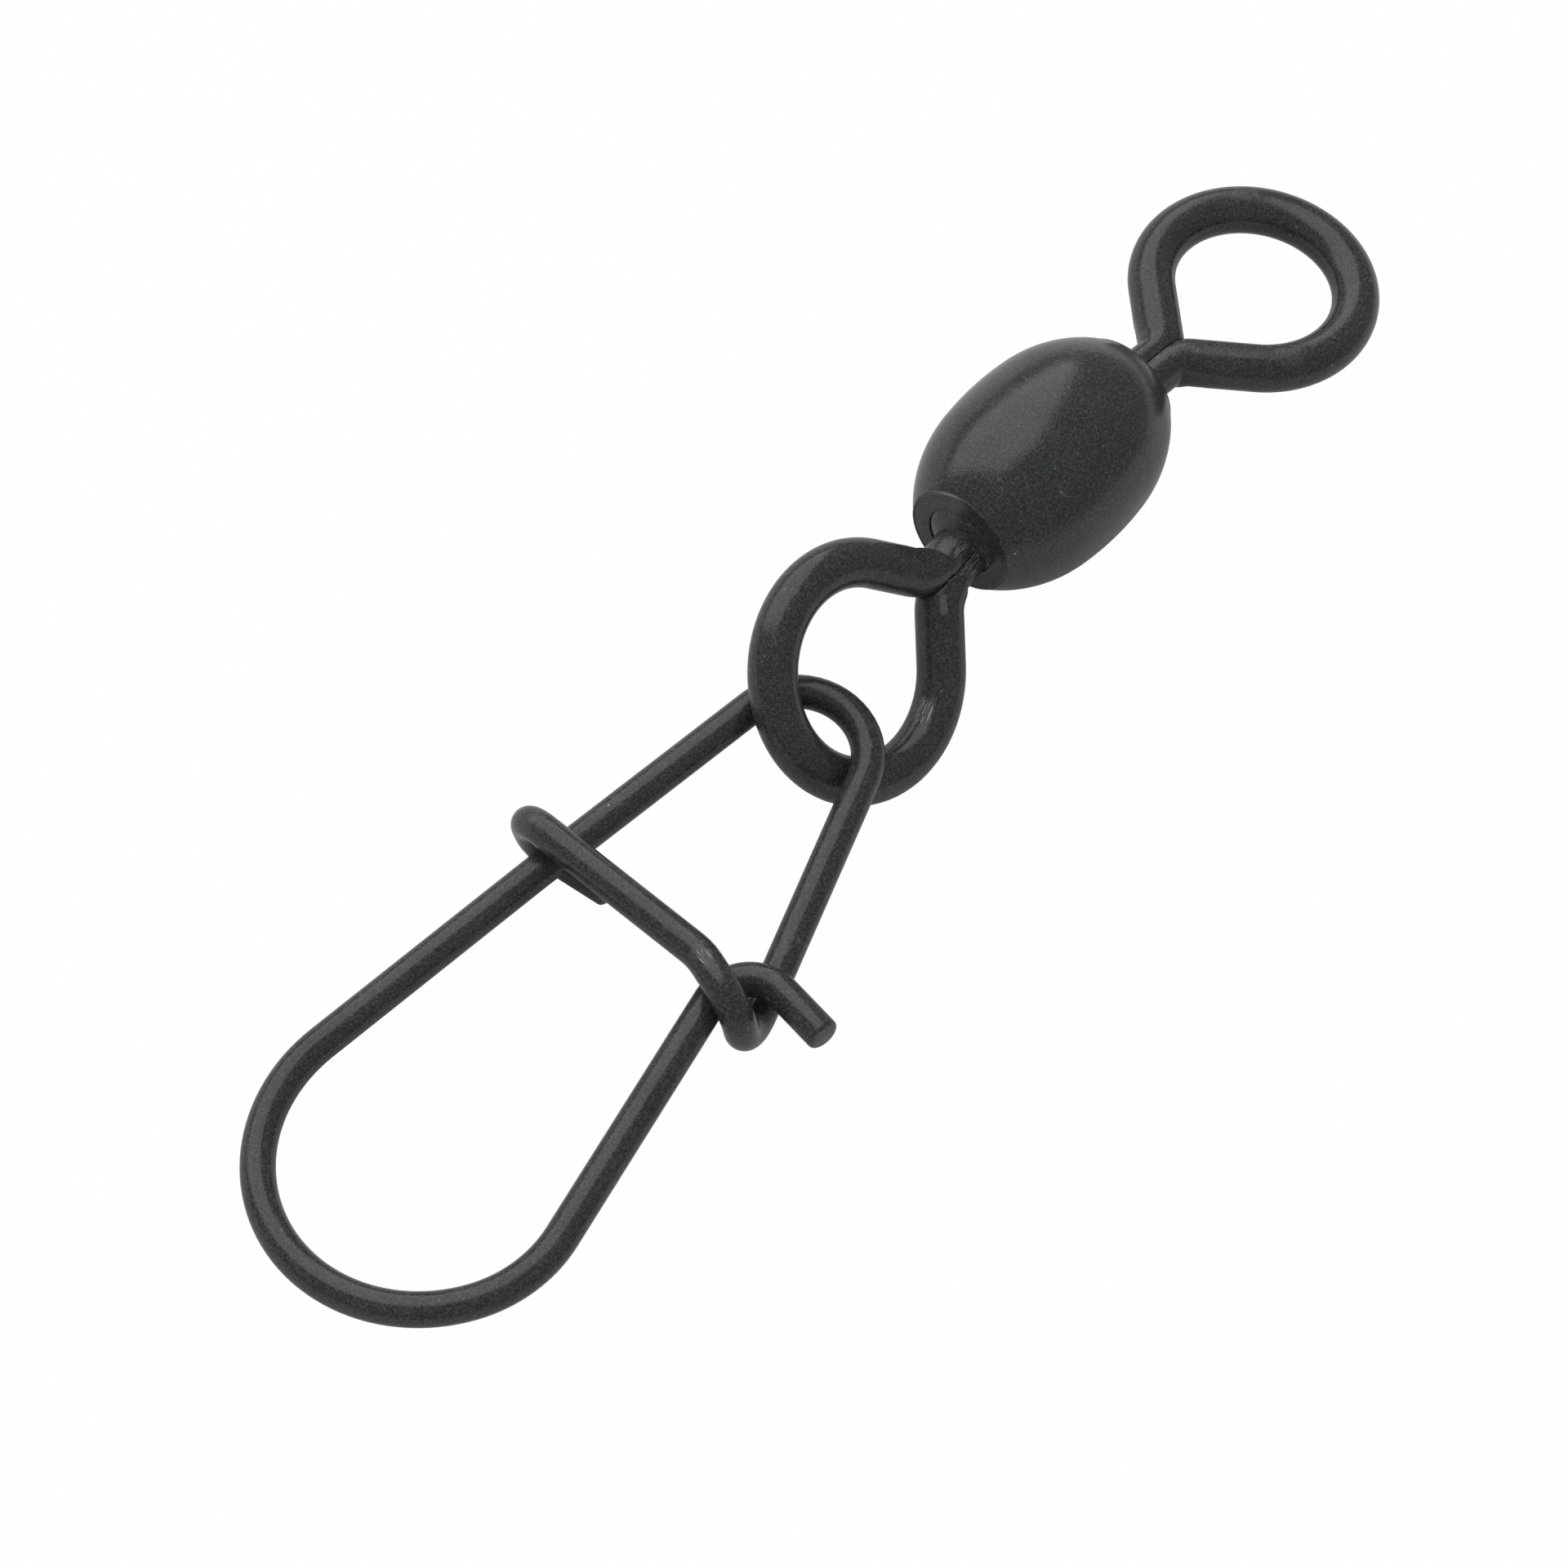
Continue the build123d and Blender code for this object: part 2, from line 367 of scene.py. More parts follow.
@dataclass(frozen=True)
class BlackPlating:
    """Thin satin black plating over metal, with grain, specks and marks, and painted highlights.
    Lengths are in metres.
    """

    name: str
    marks: tuple[PlacedMark, ...] = ()
    cool: Triple = (0.0192, 0.0252, 0.0274)
    warm: Triple = (0.0274, 0.0227, 0.0250)
    pale: Triple = (0.0740, 0.0765, 0.0790)
    # Colour of the painted glints on pressed flats
    painted_glint_colour: Triple = (0.1080, 0.1120, 0.1170)
    # Bare metal's colour, also used for the painted highlight along the barrel's ridge
    bare_metal_and_glint: Triple = (0.34, 0.34, 0.35)
    sheen_tint: Triple = (0.95, 0.97, 1.0)
    ior: float = 1.47
    roughness: float = 0.16
    height: float = 2.0e-6
    grain: Pattern = Pattern((0, 0, 0), 0.000060, 2.0, 0.65)
    tint: Pattern = Pattern((70, 15, 40), 0.00010, 1.0)
    cloud: Pattern = Pattern((20, 35, 10), 0.0011, 4.0, 0.55)
    patch: Pattern = Pattern((5, 60, 25), 0.0038, 2.0)
    dust: Pattern = Pattern((40, 10, 70), 0.00016, 0.0)
    edge: Pattern = Pattern((30, 25, 65), 0.00020, 2.0)
    line_length: float = 0.0009
    line_width: float = 0.000030
    # Where each pattern steps from none to all
    tone_band: Pair = (0.385, 0.71)
    tint_band: Pair = (0.36, 0.64)
    dust_band: Pair = (0.80, 0.86)
    scuff_band: Pair = (0.35, 0.60)
    line_band: Pair = (0.56, 0.61)
    # Shares of grain, cloud and patch in the tone, and what is taken off their sum
    tone_shares: Triple = (0.88, 0.10, 0.06)
    tone_drop: float = 0.02
    # How far the painted glints and the scuffs pale the plating, and how far scratches and dust bare
    # the metal
    glint_paling: float = 0.8
    scuff_paling: float = 0.32
    scratch_baring: float = 1.5
    dust_baring: float = 0.30
    # What each adds to the roughness, and to the relief in heights
    cloud_dulling: float = 0.06
    grain_dulling: float = 0.08
    scuff_dulling: float = 0.15
    grain_relief: float = 2.2
    cloud_relief: float = 2.0
    scratch_relief: float = 3.0
    scuff_relief: float = 6.0
    # The share of a mark's reach that has its full strength
    glint_core: float = 0.7
    mark_core: float = 0.4
    scratch_core: float = 0.5

    def make(self) -> bpy.types.Material:
        """Builds the material.

        Returns:
            The finished material.
        """
        sheet = MaterialSheet(self.name)
        grain = sheet.pattern(self.grain)
        tint = sheet.pattern(self.tint).band(*self.tint_band)
        cloud = sheet.pattern(self.cloud)
        patch = sheet.pattern(self.patch)
        dust = sheet.pattern(self.dust).band(*self.dust_band)
        edge = sheet.pattern(self.edge)
        scratches = self._scratches(sheet, edge)
        scuff = cloud.band(*self.scuff_band) * self._where(sheet, WearAndGlint.SCUFF, edge)
        # Painted glints: paler patches that stand for the lamp caught on pressed flats
        painted_glint = self._where(sheet, WearAndGlint.RUB, edge)
        of_grain, of_cloud, of_patch = self.tone_shares
        tone = grain * of_grain + cloud * of_cloud + patch * of_patch - self.tone_drop
        black = sheet.colour_mix(tint, (*self.cool, 1.0), (*self.warm, 1.0))
        coat = sheet.colour_mix(tone.band(*self.tone_band), black, (*self.pale, 1.0))
        # The painted glints and the scuffs pale the plating's colour here
        glint_and_scuff_paling = (painted_glint * self.glint_paling + scuff * self.scuff_paling).band(0.0, 1.0)
        glinted_and_scuffed = sheet.colour_mix(glint_and_scuff_paling, coat, (*self.painted_glint_colour, 1.0))
        # Bare-metal chips, and the painted highlight line along the barrel's ridge
        chips_and_ridge_glint = self._where(sheet, WearAndGlint.CHIP, edge)
        bare_metal_and_glint = (scratches * self.scratch_baring + chips_and_ridge_glint + dust * self.dust_baring).band(0.0, 1.0)
        colour = sheet.colour_mix(bare_metal_and_glint, glinted_and_scuffed, (*self.bare_metal_and_glint, 1.0))
        middle = (self.cloud_dulling + self.grain_dulling) / 2
        dulling = cloud * self.cloud_dulling + grain * self.grain_dulling + scuff * self.scuff_dulling
        relief = grain * self.grain_relief + cloud * self.cloud_relief
        relief = relief - scratches * self.scratch_relief + scuff * self.scuff_relief
        bump = sheet.node(
            "ShaderNodeBump",
            inputs={"Strength": 1.0, "Distance": self.height, "Height": relief},
        )
        shader = sheet.node(
            "ShaderNodeBsdfPrincipled",
            inputs={
                "Base Color": colour,
                "Metallic": bare_metal_and_glint,
                "Roughness": dulling + (self.roughness - middle),
                "Normal": bump.outputs["Normal"],
                "IOR": self.ior,
                "Specular Tint": (*self.sheen_tint, 1.0),
            },
        )
        sheet.feed(sheet.output.inputs["Surface"], shader.outputs["BSDF"])
        return sheet.material

    def _where(self, sheet: MaterialSheet, wear_and_glint: WearAndGlint, edge: Sock) -> Sock | float:
        """How much of one kind of mark each place has; painted highlights are one such kind.

        Args:
            sheet: The material.
            wear_and_glint: The kind of mark.
            edge: Noise that makes the marks' outlines uneven.

        Returns:
            The share, or 0 where there is no such mark.
        """
        total: Sock | float = 0.0
        core = self.glint_core if wear_and_glint is WearAndGlint.RUB else self.mark_core
        for mark in self.marks:
            if mark.wear_and_glint is wear_and_glint:
                share = sheet.near(mark.place, mark.reach * core, mark.reach, edge)
                total = total + share * mark.strength
        return total

    def _scratches(self, sheet: MaterialSheet, edge: Sock) -> Sock | float:
        """Fine lines, each group of them in its own mark's direction.

        Args:
            sheet: The material.
            edge: Noise that makes the groups' outlines uneven.

        Returns:
            How much of a line each place has, or 0 where there is no such mark.
        """
        total: Sock | float = 0.0
        scale = (1 / self.line_length, 1 / self.line_width, 1 / self.line_width)
        for mark in self.marks:
            if mark.wear_and_glint is WearAndGlint.SCRATCHES:
                turn = mark.along.to_track_quat("X", "Z").to_euler()
                degrees = tuple(math.degrees(angle) for angle in turn)
                lines = sheet.noise(sheet.place(degrees, scale), 1.0).band(*self.line_band)
                core = mark.reach * self.scratch_core
                share = sheet.near(mark.place, core, mark.reach, edge)
                total = total + lines * share * mark.strength
        return total


class Modeller:
    """Shapes one mesh in edit mode, starting from a ring of points."""

    def __init__(
        self,
        name: str,
        centre: Vector,
        along: Vector,
        radius: float,
        capped: bool,
        sides: int = WIRE_SIDES,
    ) -> None:
        """Adds the ring.

        Args:
            name: The new object's name.
            centre: The ring's middle.
            along: The direction that the ring faces.
            radius: The ring's radius.
            capped: Whether the ring is filled, so that the form is closed there.
            sides: How many points the ring has.
        """
        deselect_all()
        bpy.ops.mesh.primitive_circle_add(
            vertices=sides,
            radius=radius,
            fill_type="NGON" if capped else "NOTHING",
            location=centre,
            rotation=along.to_track_quat("Z", "Y").to_euler(),
        )
        self.object = bpy.context.active_object
        self.object.name = name
        bpy.ops.object.transform_apply(location=True, rotation=True, scale=True)
        bpy.ops.object.mode_set(mode="EDIT")
        bpy.ops.mesh.select_all(action="SELECT")
        self.centre = centre.copy()
        self.along = along.normalized()
        self.radius = radius
        self.capped = capped

    def run(self, length: float, steps: int = 1) -> None:
        """Draws the wire straight on.

        Args:
            length: How far.
            steps: Into how many rings the run is divided.
        """
        for _ in range(steps):
            step = self.along * (length / steps)
            self._extrude(step)
            self.centre += step

    def bend(self, radius: float, angle: float, towards: Vector, steps: int) -> None:
        """Bends the wire round an arc.

        Args:
            radius: Radius of the wire's middle line.
            angle: How far it turns, in radians.
            towards: The direction of the arc's centre.
            steps: Into how many rings the arc is divided.
        """
        side = (towards - self.along * towards.dot(self.along)).normalized()
        axis = self.along.cross(side)
        pivot = self.centre + side * radius
        bpy.ops.mesh.spin(steps=steps, angle=-angle, center=pivot, axis=axis)
        turn = Matrix.Rotation(angle, 3, axis)
        self.centre = pivot + turn @ (self.centre - pivot)
        self.along = (turn @ self.along).normalized()

    def turn_on(self, place: float, radius: float) -> None:
        """Goes on along X to a ring of another radius.

        Args:
            place: Where the next ring is.
            radius: Its radius.
        """
        self._extrude(Vector((place - self.centre.x, 0, 0)))
        ratio = radius / self.radius
        bpy.ops.transform.resize(value=(1, ratio, ratio), center_override=(place, 0, 0))
        self.centre.x, self.radius = place, radius

    def _extrude(self, step: Vector) -> None:
        """Extrudes the selected end.

        Args:
            step: How far, and which way.
        """
        move = {"value": tuple(step)}
        if self.capped:
            bpy.ops.mesh.extrude_region_move(TRANSFORM_OT_translate=move)
        else:
            bpy.ops.mesh.extrude_edges_move(TRANSFORM_OT_translate=move)

    def follow(self, corners: list[Vector], radii: list[float], per_step: float) -> None:
        """Draws the wire along straight runs with rounded corners.

        Args:
            corners: The route, of which the first point is where the wire starts.
            radii: The bend radius at each inner corner.
            per_step: The angle of one ring's turn in a bend, in radians.
        """
        for index in range(1, len(corners) - 1):
            ahead = (corners[index + 1] - corners[index]).normalized()
            turn = self.along.angle(ahead)
            cut = radii[index - 1] * math.tan(turn / 2)
            self.run((corners[index] - self.centre).length - cut)
            rings = max(FEWEST_BEND_RINGS, round(turn / per_step))
            self.bend(radii[index - 1], turn, ahead, rings)
        self.run((corners[-1] - self.centre).length)

    def finish(self) -> bpy.types.Object:
        """Leaves edit mode and returns the object."""
        bpy.ops.object.mode_set(mode="OBJECT")
        return self.object


def apply_modifier(piece: bpy.types.Object, kind: str, settings: dict[str, object]) -> None:
    """Adds a modifier and applies it.

    Args:
        piece: The object, which becomes the active one.
        kind: The modifier's type.
        settings: The modifier's settings.
    """
    make_active(piece)
    modifier = piece.modifiers.new(kind.title(), kind)
    for name, value in settings.items():
        setattr(modifier, name, value)
    bpy.ops.object.modifier_apply(modifier=modifier.name)


def tidy_mesh(piece: bpy.types.Object, smooth_degrees: float = 38.0) -> None:
    """Merges doubles, turns faces outwards and shades the piece smooth.

    Args:
        piece: The object to tidy.
        smooth_degrees: Edges sharper than this stay crisp.
    """
    make_active(piece)
    bpy.ops.object.mode_set(mode="EDIT")
    bpy.ops.mesh.select_all(action="SELECT")
    bpy.ops.mesh.remove_doubles(threshold=MERGE_DISTANCE)
    bpy.ops.mesh.normals_make_consistent(inside=False)
    bpy.ops.object.mode_set(mode="OBJECT")
    bpy.ops.object.shade_smooth_by_angle(angle=math.radians(smooth_degrees))


def settle(piece: bpy.types.Object, matrix: Matrix, body: str, node: str) -> None:
    """Puts a piece in place and says what it stands for.

    Args:
        piece: The finished piece, in its own frame.
        matrix: From its own frame to the row's frame.
        body: The body that it rides on.
        node: The node that it stands for.
    """
    piece.data.transform(matrix)
    piece.data.update()
    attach(piece, body)
    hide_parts(node)


@dataclass
class SwivelFrame:
    """Where the swivel lies: its barrel's middle and its lean."""

    tilt: float = 1.6
    middle: Vector = field(default_factory=Vector)

    def find(self) -> None:
        """Reads the barrel's middle from the frame."""
        low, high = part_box("swivel_barrel")
        self.middle = (Vector(low) + Vector(high)) / 2

    def matrix(self) -> Matrix:
        """From the barrel's own frame to the row's frame."""
        return Matrix.Translation(self.middle) @ Matrix.Rotation(math.radians(self.tilt), 4, "Y")


@dataclass
class SwivelBarrel:
    """The hollow barrel with its two closed-in ends. Sizes are in millimetres."""

    frame: SwivelFrame
    half_length: float = 3.45
    radius: float = 2.645
    crown_radius: float = 9.0
    crown_half_span: float = 1.1
    end_face_width: float = 0.37
    mouth_radius: float = 1.10
    rim_round: float = 0.24
    rim_end: float = 47.0
    ridge_place: float = 57.0
    ridge_round: float = 0.05
    ridge_height: float = 0.022
    ridge_span: Pair = (6.0, 116.0)
    face_drop: float = 0.004
    face_edge: float = 0.02
    face_flat: float = 0.10
    throat_radius: float = 0.975
    throat_depth: float = 0.025
    throat_round: float = 0.025
    throat_land: float = 0.12
    lip_length: float = 0.70
    chamber_wall: float = 0.75
    chamber_chamfer: float = 0.477
    crown_steps: int = 6
    shoulder_steps: int = 28
    rim_steps: int = 5
    ridge_steps: int = 10
    throat_steps: int = 5
    crisp_angle: float = 30.0
    # A painted highlight along the snap end's ridge: where it runs, how many specks, their reach and
    # strength
    ridge_glint_span: Pair = (38.0, 80.0)
    ridge_glint_count: int = 15
    ridge_glint_reach: float = 0.050
    ridge_glint_least: float = 0.16
    ridge_glint_more: float = 0.34

    def shoulder(self) -> tuple[float, float, float, float]:
        """The arc that goes on smoothly from the crown.

        Returns:
            Its middle's place along the barrel and radius, its own radius, and its first angle.
        """
        fall = math.asin(self.crown_half_span / self.crown_radius)
        start = self.radius - self.crown_radius * (1 - math.cos(fall))
        run = self.half_length - self.crown_half_span
        drop = start - self.mouth_radius - self.end_face_width
        radius = (run**2 + drop**2) / (2 * (drop * math.cos(fall) - run * math.sin(fall)))
        across = self.crown_half_span - radius * math.sin(fall)
        return across, start - radius * math.cos(fall), radius, fall

    def rim_middle(self) -> Pair:
        """Middle of the rounded rim's arc.

        Returns:
            The middle, as (place along the barrel, radius).
        """
        across, up, radius, _ = self.shoulder()
        x = self.half_length - self.rim_round
        return x, up + math.sqrt((radius - self.rim_round) ** 2 - (x - across) ** 2)

    def ridge(self) -> list[Pair]:
        """The small arc of the raised ridge, which stands out of the rim.

        Returns:
            Points as (place along the barrel, radius).
        """
        x, y = self.rim_middle()
        aim = math.radians(self.ridge_place)
        inset = self.rim_round - self.ridge_round + self.ridge_height
        middle = (x + inset * math.sin(aim), y + inset * math.cos(aim))
        first, last = (math.radians(angle) for angle in self.ridge_span)
        return arc_points(middle, self.ridge_round, first, last, self.ridge_steps)

    def outside(self) -> list[Pair]:
        """Crown, shoulder, rounded rim and the raised ridge at the end.

        Returns:
            Points as (place along the barrel, radius), from the middle on.
        """
        across, up, radius, fall = self.shoulder()
        points: list[Pair] = []
        for step in range(self.crown_steps + 1):
            x = self.crown_half_span * step / self.crown_steps
            points.append((x, self.radius - self.crown_radius + math.sqrt(self.crown_radius**2 - x**2)))
        rim = self.rim_middle()
        touch = math.atan2(rim[0] - across, rim[1] - up)
        rim_end = math.radians(self.rim_end)
        points += arc_points((across, up), radius, fall, touch, self.shoulder_steps)[1:]
        points += arc_points(rim, self.rim_round, touch, rim_end, self.rim_steps)[1:]
        return points + self.ridge()

    def mouth(self, ridge_radius: float) -> list[Pair]:
        """The closed-in end: a face from the ridge to the throat's rounded edge.

        Args:
            ridge_radius: Radius at which the ridge ends.

        Returns:
            Points as (place along the barrel, radius).
        """
        face = self.half_length - self.throat_depth
        edge = (face - self.throat_round, self.throat_radius + self.throat_round)
        return [
            (face - self.face_drop, ridge_radius - self.face_edge),
            (face, ridge_radius - self.face_flat),
            *arc_points(edge, self.throat_round, math.pi / 2, math.pi, self.throat_steps),
            (face - self.throat_land, self.throat_radius),
        ]

    def profile(self) -> list[Pair]:
        """The whole section: over the outside and back through the bore and the chamber.

        Returns:
            Points as (place along the barrel, radius), round a closed outline.
        """
        lip = self.half_length - self.lip_length
        chamber = self.radius - self.chamber_wall
        outside = self.outside()
        throat_end = self.half_length - 2 * self.throat_depth - self.throat_land
        inside = [
            (throat_end, self.mouth_radius),
            (lip, self.mouth_radius),
            (lip, chamber - self.chamber_chamfer),
            (lip - self.chamber_chamfer, chamber),
        ]
        half = outside + self.mouth(outside[-1][1]) + inside
        left = [(-x, y) for x, y in reversed(half) if x > 0]
        return left + half

    def build(self) -> bpy.types.Object:
        """Models the barrel ring by ring and closes it.

        Returns:
            The barrel.
        """
        profile = [(x * MM, y * MM) for x, y in self.profile()]
        place, radius = profile[0]
        start = Vector((place, 0, 0))
        maker = Modeller("barrel_shell", start, Vector((1, 0, 0)), radius, False, BARREL_SIDES)
        for place, radius in profile[1:] + profile[:1]:
            maker.turn_on(place, radius)
        shell = maker.finish()
        tidy_mesh(shell, self.crisp_angle)
        return shell

    def ridge_glint_marks(self) -> list[Mark]:
        """Painted highlight along part of the snap end's ridge, made of bright bare-metal specks.

        Returns:
            A row of marks, the middle one strongest.
        """
        place, radius = self.ridge()[self.ridge_steps // 2]
        first, last = self.ridge_glint_span
        marks: list[Mark] = []
        for step in range(self.ridge_glint_count):
            share = step / (self.ridge_glint_count - 1)
            angle = math.radians(first + (last - first) * share)
            spot = (-place, radius * math.cos(angle), radius * math.sin(angle))
            strength = self.ridge_glint_least + self.ridge_glint_more * math.sin(math.pi * share)
            marks.append(Mark(WearAndGlint.CHIP, spot, self.ridge_glint_reach, strength))
        return marks

    def marks(self) -> tuple[PlacedMark, ...]:
        """Specks on the crown, a painted highlight along the upper side of the snap end's ridge, and a
        scuffed mouth.

        Returns:
            The marks in the row's frame.
        """
        wear_and_glint = (
            Mark(WearAndGlint.CHIP, (-0.01, -1.35, 2.27), 0.040),
            Mark(WearAndGlint.CHIP, (-0.75, -1.05, 2.38), 0.030),
            Mark(WearAndGlint.CHIP, (-1.50, -0.93, 2.32), 0.032),
            Mark(WearAndGlint.CHIP, (-3.23, -1.43, 0.83), 0.040),
            Mark(WearAndGlint.SCUFF, (-3.35, -1.20, 0.10), 0.75),
            Mark(WearAndGlint.SCUFF, (2.11, 0.97, 2.10), 0.60, 0.6),
            # Painted highlight line along the ridge
            *self.ridge_glint_marks(),
        )
        return tuple(mark.put(self.frame.matrix()) for mark in wear_and_glint)

    def dress(self, shell: bpy.types.Object) -> None:
        """Plates the barrel and sets it on its body.

        Args:
            shell: The barrel in its own frame.
        """
        finish = BlackPlating("barrel_black_plating", marks=self.marks())
        shell.data.materials.append(finish.make())
        settle(shell, self.frame.matrix(), "barrel", "swivel_barrel")


@dataclass
class WireEye:
    """A ring whose two arms are pressed into one neck, with a head caught in the barrel.

    The head is a ball with a collar in front of it, whose dome fills the barrel's mouth. Sizes
    are in millimetres.
    """

    barrel: SwivelBarrel
    name: str
    side: Side
    arm_angle: float
    arm_bend_radius: float
    tilt: float
    roll: float
    slack: float
    wear_and_glint: tuple[Mark, ...]
    wire: float = 1.25
    ring_radius: float = 2.71
    neck_pitch: float = 0.60
    neck: float = 1.50
    press_end: float = 3.74
    flare_length: float = 0.50
    flare_width: float = 0.62
    seam: float = 0.012
    length: float = 6.52
    head_radius: float = 1.30
    head_back: float = 0.80
    seat_gap: float = 0.04
    dome_depth: float = 0.055
    dome_radius: float = 0.968
    dome_hole: float = 0.1
    soft: float = 0.05
    ring_steps: int = 60
    arm_steps: int = 16
    bend_steps: int = 24
    flare_steps: int = 2
    neck_steps: int = 40
    ball_steps: int = 24
    dome_steps: int = 12

    def head_place(self) -> float:
        """Distance of the head's middle from the barrel's middle."""
        seat = math.sqrt((self.head_radius + self.seat_gap) ** 2 - self.barrel.mouth_radius**2)
        return self.barrel.half_length - self.barrel.lip_length - seat - self.slack

    def matrix(self) -> Matrix:
        """From the eye's own frame to the row's frame.

        Returns:
            The matrix.
        """
        aim = -self.tilt if self.side is Side.LINE else 180 + self.tilt
        head = Matrix.Translation((self.side.value * self.head_place() * MM, 0, 0))
        roll = Matrix.Rotation(math.radians(self.roll), 4, "X")
        lean = Matrix.Rotation(math.radians(aim), 4, "Z")
        return self.barrel.frame.matrix() @ head @ roll @ lean

    def build(self) -> bpy.types.Object:
        """Bends half the eye, presses its neck, mirrors it and adds the head.

        Returns:
            The eye, in its own frame.
        """
        slant = math.radians(self.arm_angle)
        lift = self.neck_pitch / 2
        far = Vector(((self.length + self.ring_radius) * MM, 0, 0))
        maker = Modeller(self.name, far, Vector((0, 1, 0)), self.wire / 2 * MM, False)
        ring_turn = math.pi / 2 + slant
        maker.bend(self.ring_radius * MM, ring_turn, Vector((-1, 0, 0)), self.ring_steps)
        crossing = self.length - self.ring_radius / math.sin(slant)
        corner = Vector(((crossing + lift / math.tan(slant)) * MM, lift * MM, 0))
        cut = self.arm_bend_radius * MM * math.tan(slant / 2)
        maker.run((corner - maker.centre).length - cut, self.arm_steps)
        maker.bend(self.arm_bend_radius * MM, slant, Vector((-1, 0, 0)), self.bend_steps)
        pressed = (self.length - self.press_end) * MM
        if maker.centre.x > pressed:
            maker.run(maker.centre.x - pressed, self.flare_steps)
        maker.run(maker.centre.x, self.neck_steps)
        bpy.ops.mesh.edge_face_add()
        eye = maker.finish()
        self._press(eye.data)
        mirror = {"use_axis": (False, True, False), "use_mirror_merge": True}
        apply_modifier(eye, "MIRROR", {**mirror, "merge_threshold": MIRROR_MERGE})
        self._add_head(eye)
        tidy_mesh(eye)
        return eye

    def _press(self, mesh: bpy.types.Mesh) -> None:
        """Shapes the neck as the die leaves it: round outside, flat where the wires meet.

        Past the pressed length the die opens as a cone.

        Args:
            mesh: Half the eye, in metres.
        """
        end = (self.length - self.press_end) * MM
        flare_end = end + self.flare_length * MM
        slope = self.flare_width / self.flare_length
        for vertex in mesh.vertices:
            place = vertex.co
            limit = self.neck / 2 * MM + max(0.0, place.x - end) * slope
            reach = math.hypot(place.y, place.z)
            if place.x < flare_end:
                ratio = self._soft_least(reach, limit) / reach
                place.y *= ratio
                place.z *= ratio
            if place.x < self.length * MM:
                place.y = max(place.y, self.seam / 2 * MM)

    def _soft_least(self, first: float, second: float) -> float:
        """The lesser of two lengths, rounded over where they are equal."""
        return (first + second - math.hypot(first - second, self.soft * MM)) / 2

    def head_profile(self) -> list[Pair]:
        """The head's section: flat back, ball, and a collar whose dome fills the barrel's mouth.

        Returns:
            Points as (place along the barrel from the head's middle, radius).
        """
        dome_edge = self.barrel.half_length - self.dome_depth - self.head_place()
        dome = math.hypot(dome_edge, self.dome_radius)
        back = -math.asin(self.head_back / self.head_radius)
        collar = math.acos(self.dome_radius / self.head_radius)
        edge = math.acos(self.dome_radius / dome)
        inner = math.pi / 2 - self.dome_hole * (math.pi / 2 - edge)
        ball = arc_points((0, 0), self.head_radius, back, collar, self.ball_steps)
        return ball + arc_points((0, 0), dome, edge, inner, self.dome_steps)

    def _add_head(self, eye: bpy.types.Object) -> None:
        """Turns the head about the barrel's axis and joins it to the eye.

        Args:
            eye: The eye, in its own frame, in which the barrel's axis leans.
        """
        profile = [(x * MM, y * MM) for x, y in self.head_profile()]
        place, radius = profile[0]
        start = Vector((place, 0, 0))
        maker = Modeller("head", start, Vector((1, 0, 0)), radius, True, HEAD_SIDES)
        for place, radius in profile[1:]:
            maker.turn_on(place, radius)
        head = maker.finish()
        lean = -self.tilt if self.side is Side.LINE else self.tilt
        head.data.transform(Matrix.Rotation(math.radians(-lean), 4, "Z"))
        make_active(eye)
        head.select_set(True)
        bpy.ops.object.join()

    def dress(self, eye: bpy.types.Object, body: str, node: str) -> None:
        """Plates the eye and sets it on its body.

        Args:
            eye: The eye in its own frame.
            body: The body that it rides on.
            node: The node that it stands for.
        """
        finish = BlackPlating(
            self.name + "_black_plating",
            marks=tuple(mark.put(self.matrix()) for mark in self.wear_and_glint),
        )
        eye.data.materials.append(finish.make())
        settle(eye, self.matrix(), body, node)


